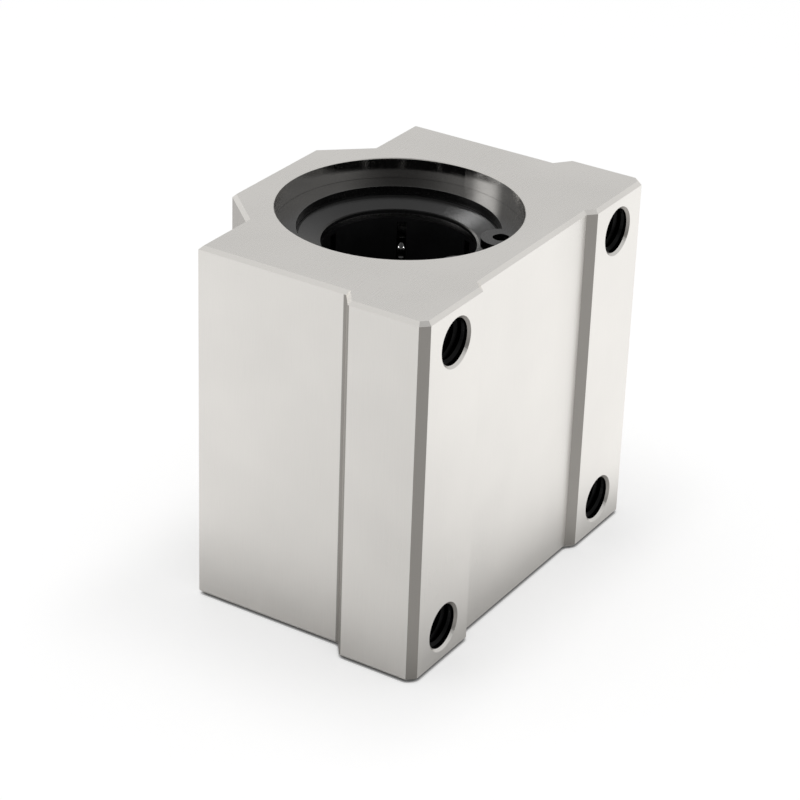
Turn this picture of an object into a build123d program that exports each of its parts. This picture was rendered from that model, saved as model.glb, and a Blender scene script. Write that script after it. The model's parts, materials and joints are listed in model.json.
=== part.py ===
"""Linear bearing block for a 20 mm shaft: a flanged housing that holds a closed ball bush.

The bore axis is Z and the origin is its middle. The mounting face looks to -Y.
"""

import os

from build123d import *

# Shaft and balls
shaft_diameter = 20.0
ball_diameter = 3.175
ball_rows = 6
balls_per_row = 6
first_row_angle = 30.0  # from +X, so that one row faces the mounting face
shaft_play = 0.02  # between shaft and balls
race_play = 0.02  # between balls and outer cylinder
lane_play = 0.08  # between balls and cage
lane_end_wall = 0.6  # of the cage beyond each lane

# Ball bush
bush_diameter = 32.0
bush_length = 42.0
bush_chamfer = 0.6
groove_diameter = 30.5  # of the two rings round the outside
groove_width = 1.6
groove_inset = 5.75  # from the end of the bush to the groove
cage_running_gap = 0.08  # between cage and shaft
cage_race_gap = 0.1  # between cage and outer cylinder
seat_step = 0.985  # from the race out to the seat of side ring and seal
side_ring_thickness = 0.9
side_ring_gap = 1.0  # between side ring and shaft

# End seals
seal_thickness = 1.05
seal_inset = 0.05  # below the end of the bush
seal_rim = 1.3  # width of the flat rim round the dish
seal_dish = 0.8  # depth of the dish at the lip
lip_play = 0.05  # between lip and shaft
lip_height = 0.4
lip_width = 0.35

# Housing
bush_inset = 4.0  # from each end of the block to the bush
block_width = 54.0  # across the mounting flange
body_width = 49.6  # across the sides above the flange
axis_height = 21.0  # mounting face to bore axis
flange_height = 11.0
step_rise = 1.7  # of the slope from flange to body
shoulder_height = 34.5
back_height = 40.5
back_width = 18.6  # flat of the raised back
back_foot_width = 29.4  # where its slopes meet the shoulders
recess_width = 28.4  # between the mounting pads
recess_wall_run = 1.15  # of each slanting wall, across the block
recess_depth = 1.05
flange_chamfer = 1.05
end_chamfer = 0.5
bore_chamfer = 0.1

# Mounting holes
hole_side_distance = 7.0  # from the flange's side face
hole_end_distance = 5.0  # from the end of the block
thread_diameter = 6.0  # over the roots, tapped from the mounting face
thread_depth = 12.0
hole_diameter = 5.2  # right through
hole_mouth_diameter = 6.7
hole_exit_diameter = 5.6

# Retaining rings
ring_thickness = 1.2
ring_groove_diameter = 33.7
ring_bore = 26.4
ring_gap = 4.4  # between the lugs
lug_radius = 2.6
lug_hole_diameter = 2.2
lug_circle_radius = 13.15
lug_angle = 22.7  # each side of the mounting face's direction
ring_side_play = 0.02
fit_play = 0.01  # round a seated piece

# Worked out
shaft_radius = shaft_diameter / 2
ball_radius = ball_diameter / 2
ball_circle_radius = shaft_radius + shaft_play + ball_radius
race_radius = ball_circle_radius + ball_radius + race_play
bush_radius = bush_diameter / 2
bush_end = bush_length / 2
seat_radius = race_radius + seat_step
side_ring_radius = shaft_radius + side_ring_gap
seal_top = bush_end - seal_inset
seal_foot = seal_top - seal_thickness
cage_end = seal_foot - side_ring_thickness
lane_length = 2 * (cage_end - lane_end_wall)
ball_pitch = (lane_length - ball_diameter - 2 * lane_play) / balls_per_row
row_length = (balls_per_row - 1) * ball_pitch
groove_end = bush_end - groove_inset
ring_groove_radius = ring_groove_diameter / 2
block_length = bush_length + 2 * bush_inset
hole_spacing_across = block_width - 2 * hole_side_distance
hole_spacing_along = block_length - 2 * hole_end_distance
foot_y = -axis_height
recess_y = foot_y + recess_depth
flange_y = foot_y + flange_height
step_y = flange_y + step_rise
shoulder_y = foot_y + shoulder_height
back_y = foot_y + back_height
mounting_face = Plane(origin=(0, foot_y, 0), x_dir=(1, 0, 0), z_dir=(0, -1, 0))
shoulder_face = Plane(origin=(0, shoulder_y, 0), x_dir=(1, 0, 0), z_dir=(0, 1, 0))
ends = {"top": 1, "bottom": -1}

os.makedirs("parts", exist_ok=True)

# Housing: one extruded profile, mirrored about the bore
with BuildPart() as housing:
    with BuildSketch(Plane.XY.offset(-block_length / 2)):
        with BuildLine():
            Polyline(
                (0, recess_y),
                (recess_width / 2 - recess_wall_run, recess_y),
                (recess_width / 2, foot_y),
                (block_width / 2, foot_y),
                (block_width / 2, flange_y),
                (body_width / 2, step_y),
                (body_width / 2, shoulder_y),
                (back_foot_width / 2, shoulder_y),
                (back_width / 2, back_y),
                (0, back_y),
            )
            mirror(about=Plane.YZ)
        make_face()
    extrude(amount=block_length)
    long_edges = housing.edges().filter_by(Axis.Z)
    foot_edges = long_edges.group_by(Axis.Y)[0].sort_by(Axis.X)
    chamfer([foot_edges[0], foot_edges[-1]], length=flange_chamfer)
    chamfer(housing.faces().filter_by(Axis.Z).edges(), length=end_chamfer)
    # Bore with its two ring grooves
    Cylinder(bush_radius + fit_play, block_length, mode=Mode.SUBTRACT)
    bore_mouths = housing.edges().filter_by(GeomType.CIRCLE)
    chamfer(bore_mouths, length=bore_chamfer)
    for side in ends.values():
        with Locations((0, 0, side * (bush_end + ring_thickness / 2))):
            Cylinder(ring_groove_radius, ring_thickness + 2 * ring_side_play, mode=Mode.SUBTRACT)
    # Mounting holes, tapped from the mounting face and drilled from the shoulders
    with Locations(mounting_face):
        with GridLocations(hole_spacing_across, hole_spacing_along, 2, 2):
            CounterSinkHole(thread_diameter / 2, hole_mouth_diameter / 2, thread_depth, 90)
    with Locations(shoulder_face):
        with GridLocations(hole_spacing_across, hole_spacing_along, 2, 2):
            CounterSinkHole(hole_diameter / 2, hole_exit_diameter / 2, shoulder_height, 90)
housing.part.label = "housing"
export_step(housing.part, "parts/housing.step")

# Outer cylinder of the ball bush
with BuildPart() as outer_cylinder:
    Cylinder(bush_radius, bush_length)
    chamfer(outer_cylinder.edges().filter_by(GeomType.CIRCLE), length=bush_chamfer)
    Cylinder(race_radius, bush_length, mode=Mode.SUBTRACT)
    for side in ends.values():
        with BuildSketch(Plane.XY.offset(side * cage_end)):
            Circle(seat_radius)
        extrude(amount=side * (bush_end - cage_end), mode=Mode.SUBTRACT)
        with BuildSketch(Plane.XY.offset(side * (groove_end - groove_width))):
            Circle(bush_radius)
            Circle(groove_diameter / 2, mode=Mode.SUBTRACT)
        extrude(amount=side * groove_width, mode=Mode.SUBTRACT)
outer_cylinder.part.label = "outer_cylinder"
export_step(outer_cylinder.part, "parts/outer_cylinder.step")

# Cage with one window per ball row: each lane breaks through its inner and outer wall
with BuildPart() as ball_retainer:
    Cylinder(race_radius - cage_race_gap, 2 * cage_end)
    Cylinder(shaft_radius + cage_running_gap, 2 * cage_end, mode=Mode.SUBTRACT)
    with PolarLocations(ball_circle_radius, ball_rows, start_angle=first_row_angle):
        Cylinder(ball_radius + lane_play, lane_length, mode=Mode.SUBTRACT)
ball_retainer.part.label = "ball_retainer"
export_step(ball_retainer.part, "parts/ball_retainer.step")

# Ball rows, each a group of separate balls
for row in range(ball_rows):
    row_angle = first_row_angle + row * 360 / ball_rows
    with BuildPart() as ball_row:
        with PolarLocations(ball_circle_radius, 1, start_angle=row_angle):
            with Locations([(0, 0, k * ball_pitch - row_length / 2) for k in range(balls_per_row)]):
                Sphere(ball_radius)
    ball_row.part.label = f"ball_row_{row + 1}"
    export_step(ball_row.part, f"parts/ball_row_{row + 1}.step")

for end, side in ends.items():
    # Side ring between cage and seal
    with BuildPart() as side_ring:
        with BuildSketch(Plane.XY.offset(side * cage_end)):
            Circle(seat_radius - fit_play)
            Circle(side_ring_radius, mode=Mode.SUBTRACT)
        extrude(amount=side * side_ring_thickness)
    side_ring.part.label = f"side_ring_{end}"
    export_step(side_ring.part, f"parts/side_ring_{end}.step")

    # End seal: a dished ring whose lip wipes the shaft
    with BuildPart() as end_seal:
        with BuildSketch(Plane.XZ):
            with BuildLine():
                Polyline(
                    (seat_radius - fit_play, side * seal_foot),
                    (seat_radius - fit_play, side * seal_top),
                    (seat_radius - fit_play - seal_rim, side * seal_top),
                    (shaft_radius + lip_play + lip_width, side * (seal_top - seal_dish)),
                    (shaft_radius + lip_play, side * (seal_top - seal_dish)),
                    (shaft_radius + lip_play, side * (seal_top - seal_dish - lip_height)),
                    (shaft_radius + lip_play + lip_width, side * (seal_top - seal_dish - lip_height)),
                    (side_ring_radius - lip_width, side * seal_foot),
                    close=True,
                )
            make_face()
        revolve(axis=Axis.Z)
    end_seal.part.label = f"end_seal_{end}"
    export_step(end_seal.part, f"parts/end_seal_{end}.step")

    # Retaining ring: a slit ring with two lugs, sprung into its groove
    with BuildPart() as retaining_ring:
        with BuildSketch(Plane.XY.offset(side * bush_end)):
            Circle(ring_groove_radius - fit_play)
            Circle(ring_bore / 2, mode=Mode.SUBTRACT)
            for turn in (-lug_angle, lug_angle):
                with PolarLocations(lug_circle_radius, 1, start_angle=turn - 90):
                    Circle(lug_radius)
            with Locations((0, -ring_groove_radius)):
                Rectangle(ring_gap, ring_groove_radius, mode=Mode.SUBTRACT)
            for turn in (-lug_angle, lug_angle):
                with PolarLocations(lug_circle_radius, 1, start_angle=turn - 90):
                    Circle(lug_hole_diameter / 2, mode=Mode.SUBTRACT)
        extrude(amount=side * ring_thickness)
    retaining_ring.part.label = f"retaining_ring_{end}"
    export_step(retaining_ring.part, f"parts/retaining_ring_{end}.step")
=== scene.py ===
"""Dressed scene of the linear bearing block: metal finishes, tapped threads, ball rows and studio.

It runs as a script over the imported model, which is loaded as a fixed frame. The bore axis is Z, the
mounting face looks to -Y, and the block stands on its lower end. Lengths are in metres, apart from
those in the shader groups, whose coordinates are in millimetres.
"""

import json
import math

import bpy
from bpy.props import FloatProperty, FloatVectorProperty, IntProperty, PointerProperty
from bpy.types import Operator, Panel, PropertyGroup
from mathutils import Matrix, Vector


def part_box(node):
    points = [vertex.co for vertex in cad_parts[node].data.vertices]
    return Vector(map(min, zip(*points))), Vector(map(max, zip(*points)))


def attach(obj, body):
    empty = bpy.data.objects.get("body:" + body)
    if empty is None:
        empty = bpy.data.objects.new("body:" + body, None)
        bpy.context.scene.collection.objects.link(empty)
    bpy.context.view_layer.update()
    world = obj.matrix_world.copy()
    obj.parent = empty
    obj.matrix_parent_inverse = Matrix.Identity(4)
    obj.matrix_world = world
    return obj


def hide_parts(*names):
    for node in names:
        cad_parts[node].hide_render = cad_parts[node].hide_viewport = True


bl_info = {
    "name": "Linear bearing block",
    "version": (1, 0, 0),
    "blender": (4, 5, 0),
    "location": "3D View > Sidebar > Bearing Block",
    "description": "Finishes, threads, ball rows and studio for a linear bearing block",
    "category": "Object",
}

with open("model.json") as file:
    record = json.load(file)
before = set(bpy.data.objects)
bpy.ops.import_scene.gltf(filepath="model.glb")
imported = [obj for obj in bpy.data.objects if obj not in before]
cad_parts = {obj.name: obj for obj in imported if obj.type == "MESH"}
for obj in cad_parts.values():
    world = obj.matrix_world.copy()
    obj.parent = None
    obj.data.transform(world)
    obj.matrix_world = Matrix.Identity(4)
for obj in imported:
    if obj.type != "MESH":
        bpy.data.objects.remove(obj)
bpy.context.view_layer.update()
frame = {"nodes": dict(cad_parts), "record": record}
NODES = frame["nodes"]
MM = 0.001
MICRON = 0.000001
ENDS = ("top", "bottom")
ROWS = range(1, 7)

# Sizes read off the frame
HOUSING_LOW, HOUSING_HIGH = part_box("housing")
RACE_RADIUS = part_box("outer_cylinder")[1].x
ROW_LOW, ROW_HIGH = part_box("ball_row_1")
BALL_DIAMETER = ROW_HIGH.x - ROW_LOW.x
ROW_CENTRE = (ROW_LOW + ROW_HIGH) / 2
BALL_CIRCLE = math.hypot(ROW_CENTRE.x, ROW_CENTRE.y)
FIRST_ROW_ANGLE = math.atan2(ROW_CENTRE.y, ROW_CENTRE.x)
ROW_SPAN = ROW_HIGH.z - ROW_LOW.z - BALL_DIAMETER
HOLES = next(m for m in frame["record"]["mounts"] if m["name"] == "mounting_holes")["dims"]

# The photograph's camera: where it stands, and how it is turned about Z, tilted down and rolled
CAMERA_PLACE = (-0.27069, -0.16805, 0.164752)
CAMERA_TURN, CAMERA_TILT, CAMERA_ROLL = (math.radians(angle) for angle in (-58.3273, 27.7296, 2.0383))
BACKDROP_TURN = math.radians(32.3)  # of the direction from the block to the bright backdrop


# Settings

class ThreadSettings(PropertyGroup):
    """Sizes of the tapped threads in the four mounting holes"""

    root_diameter: FloatProperty(
        name="Root diameter", description="Over the roots of the thread, which is the CAD hole's own wall",
        default=2 * HOLES["hole_r_mm"] * MM, unit="LENGTH", precision=5)
    crest_diameter: FloatProperty(
        name="Crest diameter", description="Between the crests, as wide as the drill",
        default=5.2 * MM, unit="LENGTH", precision=5)
    pitch: FloatProperty(
        name="Pitch", description="From one crest to the next", default=1.0 * MM, unit="LENGTH", precision=5)
    sink: FloatProperty(
        name="Sink", description="How deep the foot of a ridge lies in the hole's wall",
        default=0.02 * MM, unit="LENGTH", precision=5)
    lead: FloatProperty(
        name="Lead", description="Pitches from the mounting face to the first turn", default=0.9, min=0.5)
    turns: FloatProperty(name="Turns", description="Turns of thread in each hole", default=10.6, min=1.0)
    steps: IntProperty(name="Steps a turn", description="Straight pieces in one turn", default=40, min=8)


class BallSettings(PropertyGroup):
    """Sizes of the ball rows"""

    count: IntProperty(name="Balls a row", description="Balls that lie in one lane", default=9, min=2)
    diameter: FloatProperty(
        name="Ball diameter", description="As on the CAD balls",
        default=BALL_DIAMETER, unit="LENGTH", precision=5)
    segments: IntProperty(name="Segments", description="Faces round one ball", default=32, min=8)


class FinishSettings(PropertyGroup):
    """Colours of the finishes"""

    aluminium: FloatVectorProperty(
        name="Machined aluminium", description="Milled and ground faces of the housing",
        default=(0.80, 0.779, 0.745), subtype="COLOR", min=0, max=1)
    edge: FloatVectorProperty(
        name="Aluminium edges", description="Where the housing's edges catch the light",
        default=(0.90, 0.89, 0.88), subtype="COLOR", min=0, max=1)
    # Painted highlight: the end chamfers are given a lighter colour than the faces
    chamfer: FloatVectorProperty(
        name="End chamfers", description="Bright cuts round the two ends of the housing",
        default=(0.93, 0.904, 0.863), subtype="COLOR", min=0, max=1)
    # Painted shade: the colour of slanting faces, countersinks and a side strip, darker than the metal itself
    drawn: FloatVectorProperty(
        name="Drawn aluminium", description="Slanting faces of the profile, left as they were drawn",
        default=(0.358, 0.341, 0.319), subtype="COLOR", min=0, max=1)
    # Heights of the strip of painted shade on the sides, by the flange's slope
    skin_low: FloatProperty(
        name="Skin from",
        description="Height over the mounting face from which the sides keep their drawn skin",
        default=10.83 * MM, unit="LENGTH", precision=5)
    skin_high: FloatProperty(
        name="Skin to", description="Height up to which they keep it, past the flange's slope",
        default=13.05 * MM, unit="LENGTH", precision=5)
    steel: FloatVectorProperty(
        name="Bearing steel", description="Outer cylinder and side rings",
        default=(0.28, 0.28, 0.275), subtype="COLOR", min=0, max=1)
    spring: FloatVectorProperty(
        name="Spring steel", description="Blackened retaining rings",
        default=(0.07, 0.07, 0.07), subtype="COLOR", min=0, max=1)
    worn: FloatVectorProperty(
        name="Steel edges", description="Where the edges of steel parts are worn bright",
        default=(0.5, 0.5, 0.5), subtype="COLOR", min=0, max=1)
    # Darker than polished steel, as painted shade, so the balls stay dark inside the bore
    ball: FloatVectorProperty(
        name="Ball steel", description="Polished balls",
        default=(0.2, 0.2, 0.2), subtype="COLOR", min=0, max=1)
    rubber: FloatVectorProperty(
        name="Seal rubber", description="End seals",
        default=(0.012, 0.012, 0.012), subtype="COLOR", min=0, max=1)
    cage: FloatVectorProperty(
        name="Cage plastic", description="Ball cage",
        default=(0.007, 0.007, 0.0075), subtype="COLOR", min=0, max=1)
    # Painted shade: the holes' walls and threads are near black, as shade falls in them
    tapped: FloatVectorProperty(
        name="Tapped aluminium", description="Inside the mounting holes, dark with cutting oil",
        default=(0.012, 0.012, 0.012), subtype="COLOR", min=0, max=1)


class StageSettings(PropertyGroup):
    """Studio and camera"""

    floor: FloatVectorProperty(
        name="Floor", description="Pale floor", default=(0.66, 0.66, 0.66), subtype="COLOR", min=0, max=1)
    fill: FloatProperty(
        name="Backdrop fill", description="What the camera sees on top of the lit floor, away from the block",
        default=0.58, min=0, max=1, subtype="FACTOR")
    # Painted shadow: the floor is shown darker round the block than further away
    fill_near: FloatProperty(
        name="Fill at the block", description="The same beside the block",
        default=0.50, min=0, max=1, subtype="FACTOR")
    sky: FloatProperty(
        name="Sky", description="Strength of the even light from all round", default=0.52, min=0)
    mirror_front: FloatProperty(
        name="Mirrored front", description="What metal mirrors of the dim room in front of the block",
        default=0.12, min=0)
    mirror_back: FloatProperty(
        name="Mirrored back", description="What metal mirrors of the backdrop behind and beside it",
        default=0.705, min=0)
    mirror_floor: FloatProperty(
        name="Mirrored floor", description="Mean glow that metal mirrors in the floor", default=0.635, min=0)
    mirror_turn: FloatProperty(
        name="Floor's turn", description="How much more of it comes from behind the block",
        default=0.33, min=0)
    mirror_most: FloatProperty(
        name="Floor's most", description="The floor's glow goes no higher than this", default=0.69, min=0)
    beside: FloatProperty(
        name="Side panel", description="Glow of the soft panel that bore wall and ring mirror together",
        default=4.1, min=0)
    overhead: FloatProperty(
        name="Overhead softbox", description="Power of the softbox above", default=0.7, unit="POWER", min=0)
    behind: FloatProperty(
        name="Back panel", description="Power of the panel that the seals mirror",
        default=0.32, unit="POWER", min=0)
    glint: FloatProperty(
        name="Glint lamps", description="Power of each of the two small lamps",
        default=0.3, unit="POWER", min=0)
    lens: FloatProperty(
        name="Lens", description="Focal length of the camera in millimetres", default=122.8, unit="CAMERA")


# Nodes

FLOAT, INTEGER, VECTOR = "NodeSocketFloat", "NodeSocketInt", "NodeSocketVector"
GEOMETRY, MATERIAL = "NodeSocketGeometry", "NodeSocketMaterial"


def add(tree, kind, label=None, **values):
    """A node of that kind with its properties set; values in a dict named sockets go to its inputs."""
    node = tree.nodes.new(kind)
    sockets = values.pop("sockets", {})
    for name, value in values.items():
        setattr(node, name, value)
    for name, value in sockets.items():
        socket = node.inputs[name]
        if isinstance(value, bpy.types.NodeSocket):
            tree.links.new(value, socket)
        else:
            socket.default_value = value
    if label:
        node.label = label
    return node


def maths(tree, operation, *values, clamp=False):
    return add(tree, "ShaderNodeMath", operation=operation, use_clamp=clamp,
               sockets=dict(enumerate(values))).outputs[0]


def product(tree, first, *others):
    """All the values multiplied together."""
    for other in others:
        first = maths(tree, "MULTIPLY", first, other)
    return first


def ramp(tree, value, low, high, to_low=0.0, to_high=1.0, smooth=False):
    """The value carried over from one range to another, and held at that range's ends."""
    return add(tree, "ShaderNodeMapRange", interpolation_type="SMOOTHSTEP" if smooth else "LINEAR", sockets={
        "Value": value, "From Min": low, "From Max": high, "To Min": to_low, "To Max": to_high}).outputs[0]


def split(tree, vector):
    """The outputs X, Y and Z of a vector."""
    return add(tree, "ShaderNodeSeparateXYZ", sockets={"Vector": vector}).outputs


def join(tree, **parts):
    """A vector of the given X, Y and Z."""
    return add(tree, "ShaderNodeCombineXYZ", sockets=parts).outputs[0]


def length(tree, vector):
    return add(tree, "ShaderNodeVectorMath", operation="LENGTH", sockets={0: vector}).outputs["Value"]


def dot(tree, first, second):
    return add(tree, "ShaderNodeVectorMath", operation="DOT_PRODUCT",
               sockets={0: first, 1: second}).outputs["Value"]


def pick_vector(tree, factor, first, second):
    """The first vector where the factor is 0, and the second where it is 1."""
    node = add(tree, "ShaderNodeMix", data_type="VECTOR")
    for index, value in ((0, factor), (4, first), (5, second)):
        tree.links.new(value, node.inputs[index])
    return node.outputs[1]


def new_group(name, kind, inputs, outputs):
    """An empty node group with those sockets: its tree, its input node and its output node."""
    tree = bpy.data.node_groups.new(name, kind)
    for direction, sockets in (("INPUT", inputs), ("OUTPUT", outputs)):
        for socket, (socket_kind, default) in sockets.items():
            made = tree.interface.new_socket(socket, in_out=direction, socket_type=socket_kind)
            if default is not None:
                made.default_value = default
    return tree, tree.nodes.new("NodeGroupInput"), tree.nodes.new("NodeGroupOutput")


def built_once(name, maker):
    """The node group of that name, which is built the first time it is asked for."""
    return bpy.data.node_groups.get(name) or maker()


# Shared shader groups

def make_metal_grain():
    """Fine grain with soft patches: Grain for bump, Patches for the tone."""
    tree, given, result = new_group(
        "metal_grain", "ShaderNodeTree",
        {"Vector": (VECTOR, None), "Grain Size": (FLOAT, 0.25), "Patch Size": (FLOAT, 9.0)},
        {"Grain": (FLOAT, None), "Patches": (FLOAT, None)})
    for output, size, detail, roughness in (
            ("Grain", "Grain Size", 3.0, 0.6), ("Patches", "Patch Size", 2.0, 0.5)):
        noise = add(tree, "ShaderNodeTexNoise", sockets={
            "Vector": given.outputs["Vector"], "Detail": detail, "Roughness": roughness,
            "Scale": maths(tree, "DIVIDE", 1.0, given.outputs[size])})
        tree.links.new(noise.outputs[0], result.inputs[output])
    return tree


def make_rounded_edges():
    """Rounded edges: the Normal of an edge with that radius, and Edge, which is 1 along it."""
    tree, given, result = new_group(
        "rounded_edges", "ShaderNodeTree",
        {"Radius": (FLOAT, 0.00015)}, {"Edge": (FLOAT, None), "Normal": (VECTOR, None)})
    bevel = add(tree, "ShaderNodeBevel", samples=6, sockets={"Radius": given.outputs["Radius"]})
    along = dot(tree, bevel.outputs[0], add(tree, "ShaderNodeNewGeometry").outputs["Normal"])
    level, turned = 0.995, 0.86  # how far the two normals agree off the edge and on it
    tree.links.new(ramp(tree, along, level, turned), result.inputs["Edge"])
    tree.links.new(bevel.outputs[0], result.inputs["Normal"])
    return tree


def make_turned_rings():
    """Turning marks round the bore axis: Rings for bump and Radius in millimetres."""
    tree, given, result = new_group(
        "turned_rings", "ShaderNodeTree", {"Vector": (VECTOR, None), "Spacing": (FLOAT, 0.12)},
        {"Rings": (FLOAT, None), "Radius": (FLOAT, None)})
    parts = split(tree, given.outputs["Vector"])
    radius = length(tree, join(tree, X=parts["X"], Y=parts["Y"]))
    along = maths(tree, "ADD", radius, parts["Z"])
    lines = add(tree, "ShaderNodeTexNoise", noise_dimensions="1D", sockets={
        "W": maths(tree, "DIVIDE", along, given.outputs["Spacing"]), "Scale": 1.0, "Detail": 2.0})
    tree.links.new(lines.outputs[0], result.inputs["Rings"])
    tree.links.new(radius, result.inputs["Radius"])
    return tree


def make_hole_mask():
    """Inside is 1 in the four mounting holes, and Mouth is 1 there and on their countersinks."""
    tree, given, result = new_group(
        "hole_mask", "ShaderNodeTree", {"Vector": (VECTOR, None)},
        {"Inside": (FLOAT, None), "Mouth": (FLOAT, None)})
    inside_reach, mouth_reach = 0.19, 0.5  # past the hole's own radius
    start, end = 0.34, 34.2  # over the mounting face
    parts = split(tree, given.outputs["Vector"])
    off_axis = (maths(tree, "SUBTRACT", maths(tree, "ABSOLUTE", parts[axis]), HOLES[spacing] / 2)
                for axis, spacing in (("X", "spacing_x_mm"), ("Z", "spacing_y_mm")))
    reach = length(tree, join(tree, **dict(zip("XY", off_axis))))
    inside = product(
        tree, maths(tree, "LESS_THAN", reach, HOLES["hole_r_mm"] + inside_reach),
        maths(tree, "GREATER_THAN", parts["Y"], HOUSING_LOW.y / MM + start),
        maths(tree, "LESS_THAN", parts["Y"], HOUSING_LOW.y / MM + end))
    tree.links.new(inside, result.inputs["Inside"])
    tree.links.new(maths(tree, "LESS_THAN", reach, HOLES["hole_r_mm"] + mouth_reach), result.inputs["Mouth"])
    return tree


# Materials

class Finish:
    """A material with its Principled shader, its millimetre coordinates and the shared groups."""

    def __init__(self, name, metallic=0.0, **constants):
        self.material = bpy.data.materials.new(name)
        self.material.use_nodes = True
        self.tree = self.material.node_tree
        self.shader = self.tree.nodes["Principled BSDF"]
        self.shader.inputs["Metallic"].default_value = metallic
        for socket, value in constants.items():
            self.shader.inputs[socket.replace("_", " ")].default_value = value
        place = add(self.tree, "ShaderNodeTexCoord").outputs["Object"]
        self.mm = self.scaled(place, (1 / MM, 1 / MM, 1 / MM))

    def scaled(self, vector, factors):
        return add(self.tree, "ShaderNodeMapping", sockets={"Vector": vector, "Scale": factors}).outputs[0]

    def shared(self, name, maker, **sockets):
        """The outputs of a shared group in this material."""
        return add(
            self.tree, "ShaderNodeGroup", label=name.replace("_", " "), node_tree=built_once(name, maker),
            sockets={socket.replace("_", " "): value for socket, value in sockets.items()}).outputs

    def grain(self, vector, grain_size, patch_size):
        return self.shared("metal_grain", make_metal_grain,
                           Vector=vector, Grain_Size=grain_size, Patch_Size=patch_size)

    def rings(self, spacing):
        return self.shared("turned_rings", make_turned_rings, Vector=self.mm, Spacing=spacing)

    def math(self, operation, *values):
        return maths(self.tree, operation, *values)

    def times(self, *values):
        return product(self.tree, *values)

    def without(self, value):
        """1 less the value."""
        return maths(self.tree, "SUBTRACT", 1.0, value)

    def between(self, noise, to_low, to_high):
        """A noise's middle range carried over to another range."""
        return ramp(self.tree, noise, NOISE_LOW, NOISE_HIGH, to_low, to_high)

    def mix(self, factor, first, second, blend="MIX"):
        node = add(self.tree, "ShaderNodeMix", data_type="RGBA", blend_type=blend)
        for index, value in ((0, factor), (6, first), (7, second)):
            if isinstance(value, bpy.types.NodeSocket):
                self.tree.links.new(value, node.inputs[index])
            else:
                node.inputs[index].default_value = value if index == 0 else (*value, 1.0)[:4]
        return node.outputs[2]

    def tint(self, colour, noise, low, high):
        """The colour made darker and lighter by a noise."""
        value = self.between(noise, low, high)
        grey = add(self.tree, "ShaderNodeCombineColor", sockets={0: value, 1: value, 2: value}).outputs[0]
        return self.mix(1.0, colour, grey, "MULTIPLY")

    def bump(self, height, distance, normal=None):
        sockets = {"Height": height, "Distance": distance, "Strength": 1.0}
        if normal is not None:
            sockets["Normal"] = normal
        return add(self.tree, "ShaderNodeBump", sockets=sockets).outputs[0]

    def wire(self, **sockets):
        for socket, value in sockets.items():
            self.tree.links.new(value, self.shader.inputs[socket.replace("_", " ")])
        return self.material


def dress(material, *names):
    """Puts the material on the slots of those CAD nodes."""
    for name in names:
        slots = NODES[name].material_slots
        if not slots:
            raise RuntimeError(f"{name} has no material slot")
        for slot in slots:
            slot.material = material


NOISE_LOW, NOISE_HIGH = 0.3, 0.7  # the range in which nearly all of a noise lies
SQUARE = 0.985  # largest part of a normal, from which on a face is square to an axis
UPRIGHT, LEVEL = 0.2, 0.9  # a normal's part along Z, up to which a face is upright and from which level
BEVELLED = 0.7, 0.1  # a normal's part along Z on a chamfer round the ends, and how far it may be off
COUNTERSUNK = 0.72  # the most that a countersink's normal has along Z
BORE_REACH = 17.0  # millimetres from the axis, further out than the bore and its ring grooves
SEATED = 0.3  # millimetres in from the outer cylinder's wall, where edges lie in the bore and don't wear


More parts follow.
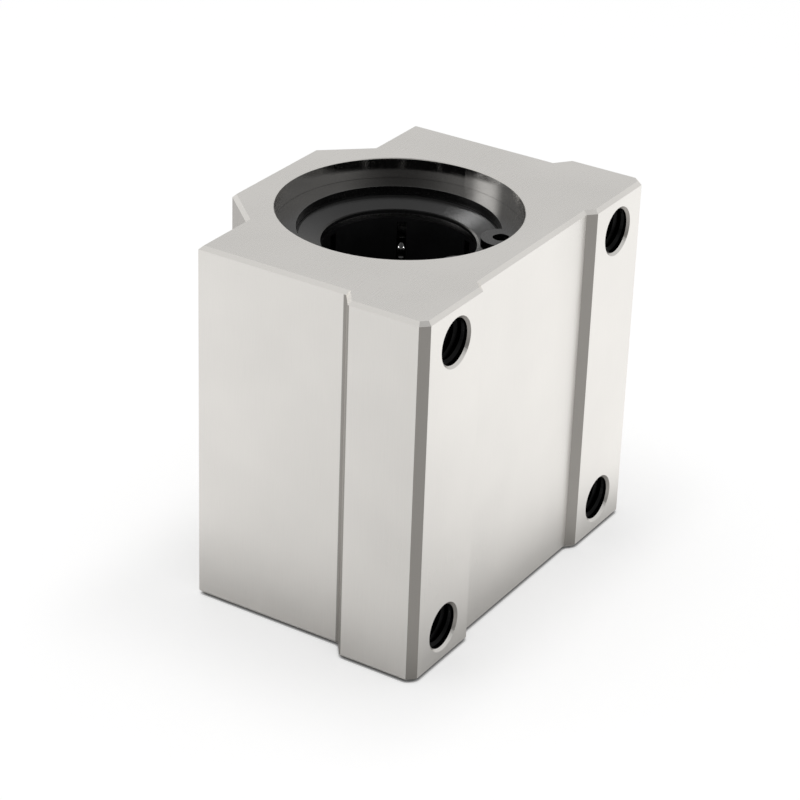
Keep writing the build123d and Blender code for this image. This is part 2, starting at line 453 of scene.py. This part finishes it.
def machined_aluminium(colours):
    """Fine matt aluminium: milled ends and sides and a smooth bored seat, with painted shade on the slants,
    countersinks, a side strip and inside the holes, and painted highlights on the end chamfers and edges.
    """
    finish = Finish("machined_aluminium", metallic=1.0)
    normal = split(finish.tree, add(finish.tree, "ShaderNodeNewGeometry").outputs["True Normal"])
    flat_x, flat_y, flat_z = (finish.math("ABSOLUTE", normal[axis]) for axis in "XYZ")
    upright = finish.math("LESS_THAN", flat_z, UPRIGHT)
    on_end = finish.math("GREATER_THAN", flat_z, LEVEL)
    rings = finish.rings(0.09)
    near_bore = finish.math("LESS_THAN", rings["Radius"], BORE_REACH)
    in_bore = finish.times(near_bore, upright)
    outside = finish.without(in_bore)
    holes = finish.shared("hole_mask", make_hole_mask, Vector=finish.mm)
    # Painted shade: a dark colour on slanting faces and in the countersinks, and on a strip of the sides by
    # the flange's slope, which stands in for that slope's shade
    countersunk = finish.times(holes["Mouth"], finish.math("LESS_THAN", flat_z, COUNTERSUNK))
    aslant = finish.times(finish.math("LESS_THAN", finish.math("MAXIMUM", flat_x, flat_y), SQUARE),
                          finish.math("MAXIMUM", upright, countersunk))
    across = split(finish.tree, finish.mm)["Y"]
    skin_low, skin_high = ((HOUSING_LOW.y + height) / MM for height in (colours.skin_low, colours.skin_high))
    strip = finish.times(
        finish.math("GREATER_THAN", across, skin_low), finish.math("LESS_THAN", across, skin_high),
        finish.math("GREATER_THAN", flat_x, SQUARE), upright)
    shade_area = finish.math("MAXIMUM", aslant, strip)
    # The painted shade is cut away where a countersink looks up to the light, and is a touch lighter further
    # from the mounting face
    looks_up = ramp(finish.tree, normal["Z"], 0.36, 0.48)
    further = finish.math("GREATER_THAN", across, skin_high)
    shade_removed = finish.math("MULTIPLY_ADD", further, 0.03, finish.times(shade_area, holes["Mouth"], looks_up))
    drawn = finish.times(shade_area, finish.math("SUBTRACT", outside, shade_removed))
    on_chamfer = finish.times(finish.math("COMPARE", flat_z, *BEVELLED), finish.without(near_bore),
                              finish.without(holes["Mouth"]))
    # Feed marks: along Z on the sides, across on the ends
    sideways = finish.scaled(finish.mm, (1.0, 1.0, 0.04))
    endways = finish.scaled(finish.mm, (0.05, 1.0, 1.0))
    marks = finish.grain(pick_vector(finish.tree, on_end, sideways, endways), 0.16, 6.0)
    grain = finish.grain(finish.mm, 0.10, 14.0)
    edge = finish.shared("rounded_edges", make_rounded_edges, Radius=70 * MICRON)["Edge"]
    # Painted shade on the slants, countersinks and side strip
    colour = finish.mix(drawn, colours.aluminium, colours.drawn)
    # Painted highlight: a lighter colour on the chamfers round the ends
    colour = finish.mix(on_chamfer, colour, colours.chamfer)
    colour = finish.tint(colour, grain["Patches"], 0.965, 1.03)
    colour = finish.tint(colour, marks["Grain"], 0.985, 1.012)
    # Painted highlight along the edges, broken up by the grain
    broken = ramp(finish.tree, grain["Grain"], 0.35, 0.65, 0.05, 0.2)
    bright = finish.times(edge, broken, finish.without(holes["Mouth"]), outside)
    colour = finish.mix(bright, colour, colours.edge)
    # Painted shade: near black inside the mounting holes
    colour = finish.mix(holes["Inside"], colour, colours.tapped)
    rough = finish.math("ADD", finish.between(marks["Grain"], 0.29, 0.37),
                        finish.between(grain["Patches"], -0.02, 0.02))
    for mask, change in ((on_end, -0.04), (drawn, 0.10), (in_bore, -0.22)):
        rough = finish.math("MULTIPLY_ADD", mask, change, rough)
    height = finish.math("MULTIPLY_ADD", grain["Grain"], 0.5, finish.times(marks["Grain"], outside))
    height = finish.times(height, finish.math("MULTIPLY_ADD", on_end, -0.93, 1.0))
    height = finish.math("MULTIPLY_ADD", rings["Rings"], in_bore, height)
    return finish.wire(Base_Color=colour, Roughness=rough, Normal=finish.bump(height, 3 * MICRON))


def tapped_aluminium(colour):
    """Threads cut in the holes, near black as painted shade of the deep hole, with fine tearing along the
    cut.
    """
    finish = Finish("tapped_aluminium", metallic=1.0)
    grain = finish.grain(finish.mm, 0.08, 1.5)
    return finish.wire(
        Base_Color=finish.tint(colour, grain["Patches"], 0.7, 1.3),
        Roughness=finish.between(grain["Grain"], 0.28, 0.42),
        Normal=finish.bump(grain["Grain"], 6 * MICRON))


def turned_steel(name, colour, worn, rough_low, rough_high):
    """Ground or oiled steel with turning marks round the axis, and edges worn where they are free."""
    finish = Finish(name, metallic=1.0)
    rings = finish.rings(0.07)
    grain = finish.grain(finish.mm, 0.12, 4.0)
    edges = finish.shared("rounded_edges", make_rounded_edges, Radius=80 * MICRON)
    free = finish.math("LESS_THAN", rings["Radius"], RACE_RADIUS / MM - SEATED)
    tone = finish.tint(colour, grain["Patches"], 0.88, 1.10)
    tone = finish.mix(finish.times(edges["Edge"], free, 0.3), tone, worn)
    height = finish.math("MULTIPLY_ADD", grain["Grain"], 0.4, rings["Rings"])
    flat = add(finish.tree, "ShaderNodeNewGeometry").outputs["Normal"]
    facing = pick_vector(finish.tree, free, flat, edges["Normal"])
    return finish.wire(
        Base_Color=tone, Roughness=finish.between(grain["Grain"], rough_low, rough_high),
        Normal=finish.bump(height, 1.5 * MICRON, facing))


def polished_ball_steel(colour):
    """Polished balls with the faintest oil film, their colour darkened as painted shade inside the bore."""
    finish = Finish("ball_steel", metallic=1.0)
    grain = finish.grain(finish.mm, 0.4, 2.0)
    return finish.wire(
        Base_Color=finish.tint(colour, grain["Patches"], 0.95, 1.03),
        Roughness=finish.between(grain["Patches"], 0.05, 0.11))


def seal_rubber(colour):
    """Satin nitrile with moulded rings round the axis."""
    finish = Finish("seal_rubber", Specular_IOR_Level=0.38)
    grain = finish.grain(finish.mm, 0.09, 3.0)
    height = finish.math("MULTIPLY_ADD", finish.rings(0.25)["Rings"], 0.8, grain["Grain"])
    return finish.wire(
        Base_Color=finish.tint(colour, grain["Patches"], 0.85, 1.12),
        Roughness=finish.between(grain["Grain"], 0.15, 0.21), Normal=finish.bump(height, 6 * MICRON))


def cage_plastic(colour):
    """Black moulded cage with a fine spark-eroded surface."""
    finish = Finish("cage_plastic", Specular_IOR_Level=0.4)
    grain = finish.grain(finish.mm, 0.11, 5.0)
    return finish.wire(
        Base_Color=finish.tint(colour, grain["Patches"], 0.7, 1.5),
        Roughness=finish.between(grain["Grain"], 0.34, 0.52), Normal=finish.bump(grain["Grain"], 8 * MICRON))


# Geometry nodes

# The thread's ridge from corner to corner: pitches along the axis, and part of the ridge's height
RIDGE = ((-0.44, 0.0), (-0.08, 1.0), (0.08, 1.0), (0.44, 0.0), (-0.44, 0.0))
RUN_IN, RUN_OUT = 0.4, 0.8  # turns in which the ridge rises at its start and fades at its end


def pick_number(tree, index, numbers):
    """The number at that place in the list."""
    switch = add(tree, "GeometryNodeIndexSwitch", data_type="FLOAT")
    while len(switch.index_switch_items) < len(numbers):
        switch.index_switch_items.new()
    tree.links.new(index, switch.inputs["Index"])
    for place, number in enumerate(numbers):
        switch.inputs[str(place)].default_value = number
    return switch.outputs[0]


def close_tree(tree, given, result, instances):
    """Ends the tree: the instances made real and given their material."""
    real = add(tree, "GeometryNodeRealizeInstances", sockets={"Geometry": instances})
    painted = add(tree, "GeometryNodeSetMaterial", sockets={
        "Geometry": real.outputs[0], "Material": given.outputs["Material"]})
    tree.links.new(painted.outputs[0], result.inputs["Geometry"])
    return tree


def thread_tree():
    """A tapped thread's ridge, wound up from a grid and set in each hole of a rectangle along Y."""
    tree, given, result = new_group("tapped_threads", "GeometryNodeTree", {
        "Geometry": (GEOMETRY, None), "Root Radius": (FLOAT, 0.003), "Crest Radius": (FLOAT, 0.0026),
        "Pitch": (FLOAT, 0.001), "Turns": (FLOAT, 11.0), "Steps": (INTEGER, 440),
        "Across": (FLOAT, 0.04), "Along": (FLOAT, 0.04), "Start": (VECTOR, (0.0, 0.0, 0.0)),
        "Material": (MATERIAL, None)}, {"Geometry": (GEOMETRY, None)})
    value = given.outputs
    # The grid's X, from -0.5 to 0.5, runs along the thread, and its Y from corner to corner of the ridge
    sides = len(RIDGE) - 1
    strip = add(tree, "GeometryNodeMeshGrid", sockets={
        "Size X": 1.0, "Size Y": float(sides), "Vertices X": maths(tree, "ADD", value["Steps"], 1.0),
        "Vertices Y": len(RIDGE)})
    here = split(tree, add(tree, "GeometryNodeInputPosition").outputs[0])
    corner = add(tree, "FunctionNodeFloatToInt", rounding_mode="ROUND", sockets={
        "Float": maths(tree, "ADD", here["Y"], sides / 2)}).outputs[0]
    beside, height = (pick_number(tree, corner, numbers) for numbers in zip(*RIDGE))
    turn = product(tree, maths(tree, "ADD", here["X"], 0.5), value["Turns"])
    run_in = maths(tree, "DIVIDE", turn, RUN_IN, clamp=True)
    run_out = maths(tree, "DIVIDE", maths(tree, "SUBTRACT", value["Turns"], turn), RUN_OUT, clamp=True)
    depth = maths(tree, "SUBTRACT", value["Root Radius"], value["Crest Radius"])
    radius = maths(tree, "SUBTRACT", value["Root Radius"], product(tree, height, run_in, run_out, depth))
    angle = product(tree, turn, math.tau)
    wound = add(tree, "GeometryNodeSetPosition", sockets={"Geometry": strip.outputs["Mesh"], "Position": join(
        tree, X=product(tree, radius, maths(tree, "SINE", angle)),
        Y=product(tree, maths(tree, "ADD", turn, beside), value["Pitch"]),
        Z=product(tree, radius, maths(tree, "COSINE", angle)))})
    closed = add(tree, "GeometryNodeMergeByDistance", sockets={
        "Geometry": wound.outputs[0], "Distance": MICRON})
    holes = add(tree, "GeometryNodeMeshGrid", sockets={
        "Size X": value["Across"], "Size Y": value["Along"], "Vertices X": 2, "Vertices Y": 2})
    upright = add(tree, "GeometryNodeTransform", sockets={
        "Geometry": holes.outputs["Mesh"], "Translation": value["Start"],
        "Rotation": (math.pi / 2, 0.0, 0.0)})
    tapped = add(tree, "GeometryNodeInstanceOnPoints", sockets={
        "Points": upright.outputs[0], "Instance": closed.outputs[0]})
    return close_tree(tree, given, result, tapped.outputs[0])


def row_tree():
    """A row of balls along Z at a radius and an angle about the axis."""
    tree, given, result = new_group("ball_row", "GeometryNodeTree", {
        "Geometry": (GEOMETRY, None), "Count": (INTEGER, 9), "Span": (FLOAT, 0.028),
        "Ball Radius": (FLOAT, 0.0016), "Circle Radius": (FLOAT, 0.0116), "Angle": (FLOAT, 0.0),
        "Segments": (INTEGER, 32), "Material": (MATERIAL, None)}, {"Geometry": (GEOMETRY, None)})
    value = given.outputs
    low = join(tree, X=product(tree, value["Circle Radius"], maths(tree, "COSINE", value["Angle"])),
               Y=product(tree, value["Circle Radius"], maths(tree, "SINE", value["Angle"])),
               Z=product(tree, value["Span"], -0.5))
    step = join(tree, Z=maths(tree, "DIVIDE", value["Span"], maths(tree, "SUBTRACT", value["Count"], 1.0)))
    lane = add(tree, "GeometryNodeMeshLine", mode="OFFSET", sockets={
        "Count": value["Count"], "Start Location": low, "Offset": step})
    ball = add(tree, "GeometryNodeMeshUVSphere", sockets={
        "Segments": value["Segments"], "Rings": maths(tree, "DIVIDE", value["Segments"], 2.0),
        "Radius": value["Ball Radius"]})
    smooth = add(tree, "GeometryNodeSetShadeSmooth", sockets={"Geometry": ball.outputs["Mesh"]})
    balls = add(tree, "GeometryNodeInstanceOnPoints", sockets={
        "Points": lane.outputs[0], "Instance": smooth.outputs[0]})
    return close_tree(tree, given, result, balls.outputs[0])


def grow(name, tree, **values):
    """The mesh that a geometry tree makes from those values, as a plain object at the origin."""
    seed = bpy.data.objects.new(name, bpy.data.meshes.new(name + "_seed"))
    bpy.context.scene.collection.objects.link(seed)
    modifier = seed.modifiers.new("shape", "NODES")
    modifier.node_group = tree
    sockets = {item.name: item.identifier for item in tree.interface.items_tree
               if item.item_type == "SOCKET" and item.in_out == "INPUT"}
    for socket, value in values.items():
        modifier[sockets[socket.replace("_", " ")]] = value
    mesh = bpy.data.meshes.new_from_object(seed.evaluated_get(bpy.context.evaluated_depsgraph_get()))
    if not mesh.polygons:
        raise RuntimeError(f"{name} came out empty")
    seed.modifiers.clear()
    old, seed.data = seed.data, mesh
    bpy.data.meshes.remove(old)
    mesh.name = name
    return seed


# Operators

class FinishHousing(Operator):
    """Give the housing its machined aluminium, with painted shade and painted highlights"""

    bl_idname = "bearing_block.finish_housing"
    bl_label = "Housing"

    def execute(self, context):
        dress(machined_aluminium(context.scene.block_finish), "housing")
        return {"FINISHED"}


class FinishBush(Operator):
    """Give the outer cylinder and side rings their ground steel, and the cage its black plastic"""

    bl_idname = "bearing_block.finish_bush"
    bl_label = "Ball bush"

    def execute(self, context):
        colours = context.scene.block_finish
        dress(turned_steel("bearing_steel", colours.steel, colours.worn, 0.20, 0.30),
              "outer_cylinder", *(f"side_ring_{end}" for end in ENDS))
        dress(cage_plastic(colours.cage), "ball_retainer")
        return {"FINISHED"}


class FinishSeals(Operator):
    """Give the two end seals their satin rubber"""

    bl_idname = "bearing_block.finish_seals"
    bl_label = "End seals"

    def execute(self, context):
        dress(seal_rubber(context.scene.block_finish.rubber), *(f"end_seal_{end}" for end in ENDS))
        return {"FINISHED"}


class FinishRetainingRings(Operator):
    """Give the two retaining rings their oiled spring steel"""

    bl_idname = "bearing_block.finish_retaining_rings"
    bl_label = "Retaining rings"

    def execute(self, context):
        colours = context.scene.block_finish
        dress(turned_steel("spring_steel", colours.spring, colours.worn, 0.25, 0.31),
              *(f"retaining_ring_{end}" for end in ENDS))
        return {"FINISHED"}


class AddHoleThreads(Operator):
    """Wind a tapped thread into each of the four mounting holes"""

    bl_idname = "bearing_block.add_hole_threads"
    bl_label = "Hole threads"

    def execute(self, context):
        sizes = context.scene.block_threads
        threads = grow(
            "hole_threads", built_once("tapped_threads", thread_tree),
            Root_Radius=sizes.root_diameter / 2 + sizes.sink, Crest_Radius=sizes.crest_diameter / 2,
            Pitch=sizes.pitch, Turns=sizes.turns, Steps=int(sizes.turns * sizes.steps),
            Across=HOLES["spacing_x_mm"] * MM, Along=HOLES["spacing_y_mm"] * MM,
            Start=(0.0, HOUSING_LOW.y + sizes.lead * sizes.pitch, 0.0),
            Material=tapped_aluminium(context.scene.block_finish.tapped))
        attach(threads, "block")
        return {"FINISHED"}


class AddBallRows(Operator):
    """Lay the polished balls of the six rows into their lanes"""

    bl_idname = "bearing_block.add_ball_rows"
    bl_label = "Ball rows"

    def execute(self, context):
        sizes = context.scene.block_balls
        steel = polished_ball_steel(context.scene.block_finish.ball)
        for row in ROWS:
            balls = grow(
                f"balls_{row}", built_once("ball_row", row_tree),
                Count=sizes.count, Span=ROW_SPAN, Ball_Radius=sizes.diameter / 2, Circle_Radius=BALL_CIRCLE,
                Angle=FIRST_ROW_ANGLE + (row - 1) * math.tau / len(ROWS), Segments=sizes.segments,
                Material=steel)
            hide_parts(f"ball_row_{row}")
            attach(balls, f"ball_row_{row}")
        return {"FINISHED"}


def toward_back(tree, direction):
    """How far a direction points to the bright backdrop behind the block: 1 straight to it, -1 away."""
    flat = add(tree, "ShaderNodeVectorMath", operation="MULTIPLY", sockets={0: direction, 1: (1.0, 1.0, 0.0)})
    unit = add(tree, "ShaderNodeVectorMath", operation="NORMALIZE", sockets={0: flat.outputs[0]})
    return dot(tree, unit.outputs[0], (math.cos(BACKDROP_TURN), math.sin(BACKDROP_TURN), 0.0))


def mirror_ray(tree, path):
    """1 for the rays in which a surface mirrors what is round it."""
    return maths(tree, "MAXIMUM", path.outputs["Is Glossy Ray"], path.outputs["Is Transmission Ray"])


def distance_to_block(tree, place):
    """How far a spot on the floor lies from the block, reckoned longer along Y."""
    parts = split(tree, place)
    middle, half = (HOUSING_LOW + HOUSING_HIGH) / 2, (HOUSING_HIGH - HOUSING_LOW) / 2
    past = {}
    for index, (axis, stretch) in enumerate((("X", 1.0), ("Y", 1.7))):
        off = maths(tree, "ABSOLUTE", maths(tree, "SUBTRACT", parts[axis], middle[index]))
        outside = maths(tree, "MAXIMUM", maths(tree, "SUBTRACT", off, half[index]), 0.0)
        past[axis] = product(tree, outside, stretch)
    return length(tree, join(tree, **past))


def studio_floor(look):
    """Pale floor that keeps the shadow, with painted contact shade and a painted shadow round the block,
    shows as white backdrop, and glows in metal away from the block as a painted reflection.
    """
    material = bpy.data.materials.new("studio_floor")
    material.use_nodes = True
    tree = material.node_tree
    tree.nodes.clear()
    # The paint, with painted contact shade in the crack under the block
    crack = 0.6 * MM
    under = add(tree, "ShaderNodeAmbientOcclusion", samples=12, sockets={"Distance": crack}).outputs["AO"]
    open_floor = ramp(tree, under, 0.2, 0.9, to_low=0.12, smooth=True)
    shade = add(tree, "ShaderNodeVectorMath", operation="SCALE", sockets={0: look.floor, "Scale": open_floor})
    paint = add(tree, "ShaderNodeBsdfDiffuse", sockets={"Color": shade.outputs[0]})
    # What the camera sees on top of the light, lower beside the block as a painted shadow, and the glow that
    # metal mirrors, a painted reflection that fades near the block and is brighter behind it
    place = add(tree, "ShaderNodeTexCoord").outputs["Object"]
    away = distance_to_block(tree, place)
    clear = ramp(tree, away, -2 * MM, 18 * MM, to_low=0.22, smooth=True)
    glow = maths(tree, "ADD", look.mirror_floor, product(tree, toward_back(tree, place), look.mirror_turn))
    glow = maths(tree, "MINIMUM", glow, look.mirror_most)
    path = add(tree, "ShaderNodeLightPath")
    seen = ramp(tree, away, 0.0, 24 * MM, look.fill_near, look.fill, smooth=True)
    strength = maths(tree, "ADD", product(tree, path.outputs["Is Camera Ray"], seen, open_floor),
                     product(tree, mirror_ray(tree, path), clear, glow))
    shown = add(tree, "ShaderNodeEmission", sockets={"Strength": strength})
    both = add(tree, "ShaderNodeAddShader", sockets={0: paint.outputs[0], 1: shown.outputs[0]})
    add(tree, "ShaderNodeOutputMaterial", sockets={"Surface": both.outputs[0]})
    return material


def studio_sky(world, look):
    """Even light from all round, a white backdrop for the camera and a graded one for metal."""
    world.use_nodes = True
    tree = world.node_tree
    tree.nodes.clear()
    path = add(tree, "ShaderNodeLightPath")
    direction = add(tree, "ShaderNodeTexCoord").outputs["Generated"]
    mirrored = ramp(tree, toward_back(tree, direction), -1.1, -0.5,
                    look.mirror_front, look.mirror_back, smooth=True)
    # A round panel low at the side, for rays that two mirroring surfaces have turned
    turn, lift, reach, core = (math.radians(angle) for angle in (124.0, 28.0, 20.0, 3.0))
    middle = (math.cos(turn) * math.cos(lift), math.sin(turn) * math.cos(lift), math.sin(lift))
    panel = ramp(tree, dot(tree, direction, middle), math.cos(reach), math.cos(core),
                 0.0, look.beside, smooth=True)
    twice = maths(tree, "GREATER_THAN", path.outputs["Glossy Depth"], 1.5)
    mirrored = maths(tree, "ADD", mirrored, product(tree, panel, twice))
    light = add(tree, "ShaderNodeMix", data_type="FLOAT", sockets={
        "Factor": mirror_ray(tree, path), "A": look.sky, "B": mirrored})
    strength = add(tree, "ShaderNodeMix", data_type="FLOAT", sockets={
        "Factor": path.outputs["Is Camera Ray"], "A": light.outputs[0], "B": 1.0})
    sky = add(tree, "ShaderNodeBackground", sockets={
        "Color": (1.0, 1.0, 1.0, 1.0), "Strength": strength.outputs[0]})
    add(tree, "ShaderNodeOutputWorld", sockets={"Surface": sky.outputs[0]})


def softbox(name, power, size, place, target):
    """A square lamp at a place, turned to a target."""
    lamp = bpy.data.lights.new(name, "AREA")
    lamp.shape = "SQUARE"
    lamp.size = size
    lamp.energy = power
    holder = bpy.data.objects.new(name, lamp)
    holder.location = place
    holder.rotation_euler = (Vector(target) - Vector(place)).to_track_quat("-Z", "Y").to_euler()
    bpy.context.scene.collection.objects.link(holder)
    return holder


def receivers(name, members):
    """A collection of the objects that a lamp lights."""
    collection = bpy.data.collections.new(name)
    for member in members:
        collection.objects.link(NODES.get(member) or bpy.data.objects[member])
    return collection


def lay_floor(scene, look):
    """The floor, a large sheet just under the block."""
    reach, level = 2.0, HOUSING_LOW.z - 20 * MICRON
    mesh = bpy.data.meshes.new("floor")
    corners = ((-reach, -reach), (reach, -reach), (reach, reach), (-reach, reach))
    mesh.from_pydata([(x, y, level) for x, y in corners], [], [(0, 1, 2, 3)])
    mesh.materials.append(studio_floor(look))
    floor = bpy.data.objects.new("floor", mesh)
    scene.collection.objects.link(floor)


def hang_lamps(look):
    """The softbox above, the panel that only the seals mirror, and the two lamps that glint in the balls."""
    softbox("overhead_softbox", look.overhead, 0.5, (-0.05, 0.0, 0.6), (0.0, 0.0, 0.0)).visible_glossy = False
    panel = softbox("back_panel", look.behind, 0.1, (0.3106, 0.4520, 0.535), (0.0, 0.0, 0.02))
    panel.light_linking.receiver_collection = receivers("lit_seals", [f"end_seal_{end}" for end in ENDS])
    balls = receivers("lit_balls", [f"balls_{row}" for row in ROWS])
    middle, sideways = Vector((-0.4254, -0.228, 0.3546)), Vector((0.47, -0.88, 0.0))
    for name, shift in (("glint_lamp_1", -0.26), ("glint_lamp_2", 0.26)):
        lamp = softbox(name, look.glint, 0.06, middle + shift * sideways, (0.0, 0.0, 0.015))
        lamp.light_linking.receiver_collection = balls


def place_camera(scene, look):
    """The camera at the photograph's viewing angle."""
    camera = bpy.data.cameras.new("camera")
    camera.sensor_fit = "HORIZONTAL"
    camera.sensor_width = 36.0
    camera.lens = look.lens
    camera.clip_start = 0.01
    eye = bpy.data.objects.new("camera", camera)
    back = Vector((math.sin(CAMERA_TURN) * math.cos(CAMERA_TILT),
                   -math.cos(CAMERA_TURN) * math.cos(CAMERA_TILT), math.sin(CAMERA_TILT)))
    right = Vector((math.cos(CAMERA_TURN), math.sin(CAMERA_TURN), 0.0))
    up = back.cross(right)
    x_axis = right * math.cos(CAMERA_ROLL) + up * math.sin(CAMERA_ROLL)
    y_axis = up * math.cos(CAMERA_ROLL) - right * math.sin(CAMERA_ROLL)
    axes = Matrix((x_axis, y_axis, back)).transposed().to_4x4()
    eye.matrix_world = Matrix.Translation(CAMERA_PLACE) @ axes
    scene.collection.objects.link(eye)
    scene.camera = eye


class BuildStage(Operator):
    """Set up the floor, sky, softboxes and the camera at the photograph's viewing angle"""

    bl_idname = "bearing_block.build_stage"
    bl_label = "Studio"

    def execute(self, context):
        scene = context.scene
        look = scene.block_stage
        lay_floor(scene, look)
        scene.world = scene.world or bpy.data.worlds.new("studio")
        studio_sky(scene.world, look)
        hang_lamps(look)
        place_camera(scene, look)
        scene.view_settings.view_transform = "Standard"
        return {"FINISHED"}


# In the order in which they run
OPERATORS = (
    FinishHousing, FinishBush, FinishSeals, FinishRetainingRings, AddHoleThreads, AddBallRows, BuildStage)
SETTINGS = {
    "block_threads": ThreadSettings, "block_balls": BallSettings,
    "block_finish": FinishSettings, "block_stage": StageSettings,
}


class BlockPanel(Panel):
    """Settings and steps of the bearing block"""

    bl_idname = "VIEW3D_PT_bearing_block"
    bl_label = "Bearing block"
    bl_space_type = "VIEW_3D"
    bl_region_type = "UI"
    bl_category = "Bearing Block"

    def draw(self, context):
        for step in OPERATORS:
            self.layout.operator(step.bl_idname)
        for name, settings in SETTINGS.items():
            box = self.layout.box()
            for prop in settings.__annotations__:
                box.prop(getattr(context.scene, name), prop)


def register():
    for item in (*SETTINGS.values(), *OPERATORS, BlockPanel):
        bpy.utils.register_class(item)
    for name, settings in SETTINGS.items():
        setattr(bpy.types.Scene, name, PointerProperty(type=settings))


def unregister():
    for name in SETTINGS:
        delattr(bpy.types.Scene, name)
    for item in reversed((*SETTINGS.values(), *OPERATORS, BlockPanel)):
        bpy.utils.unregister_class(item)


def main():
    register()
    for step in OPERATORS:
        area, name = step.bl_idname.split(".")
        getattr(getattr(bpy.ops, area), name)()


if __name__ == "__main__":
    main()
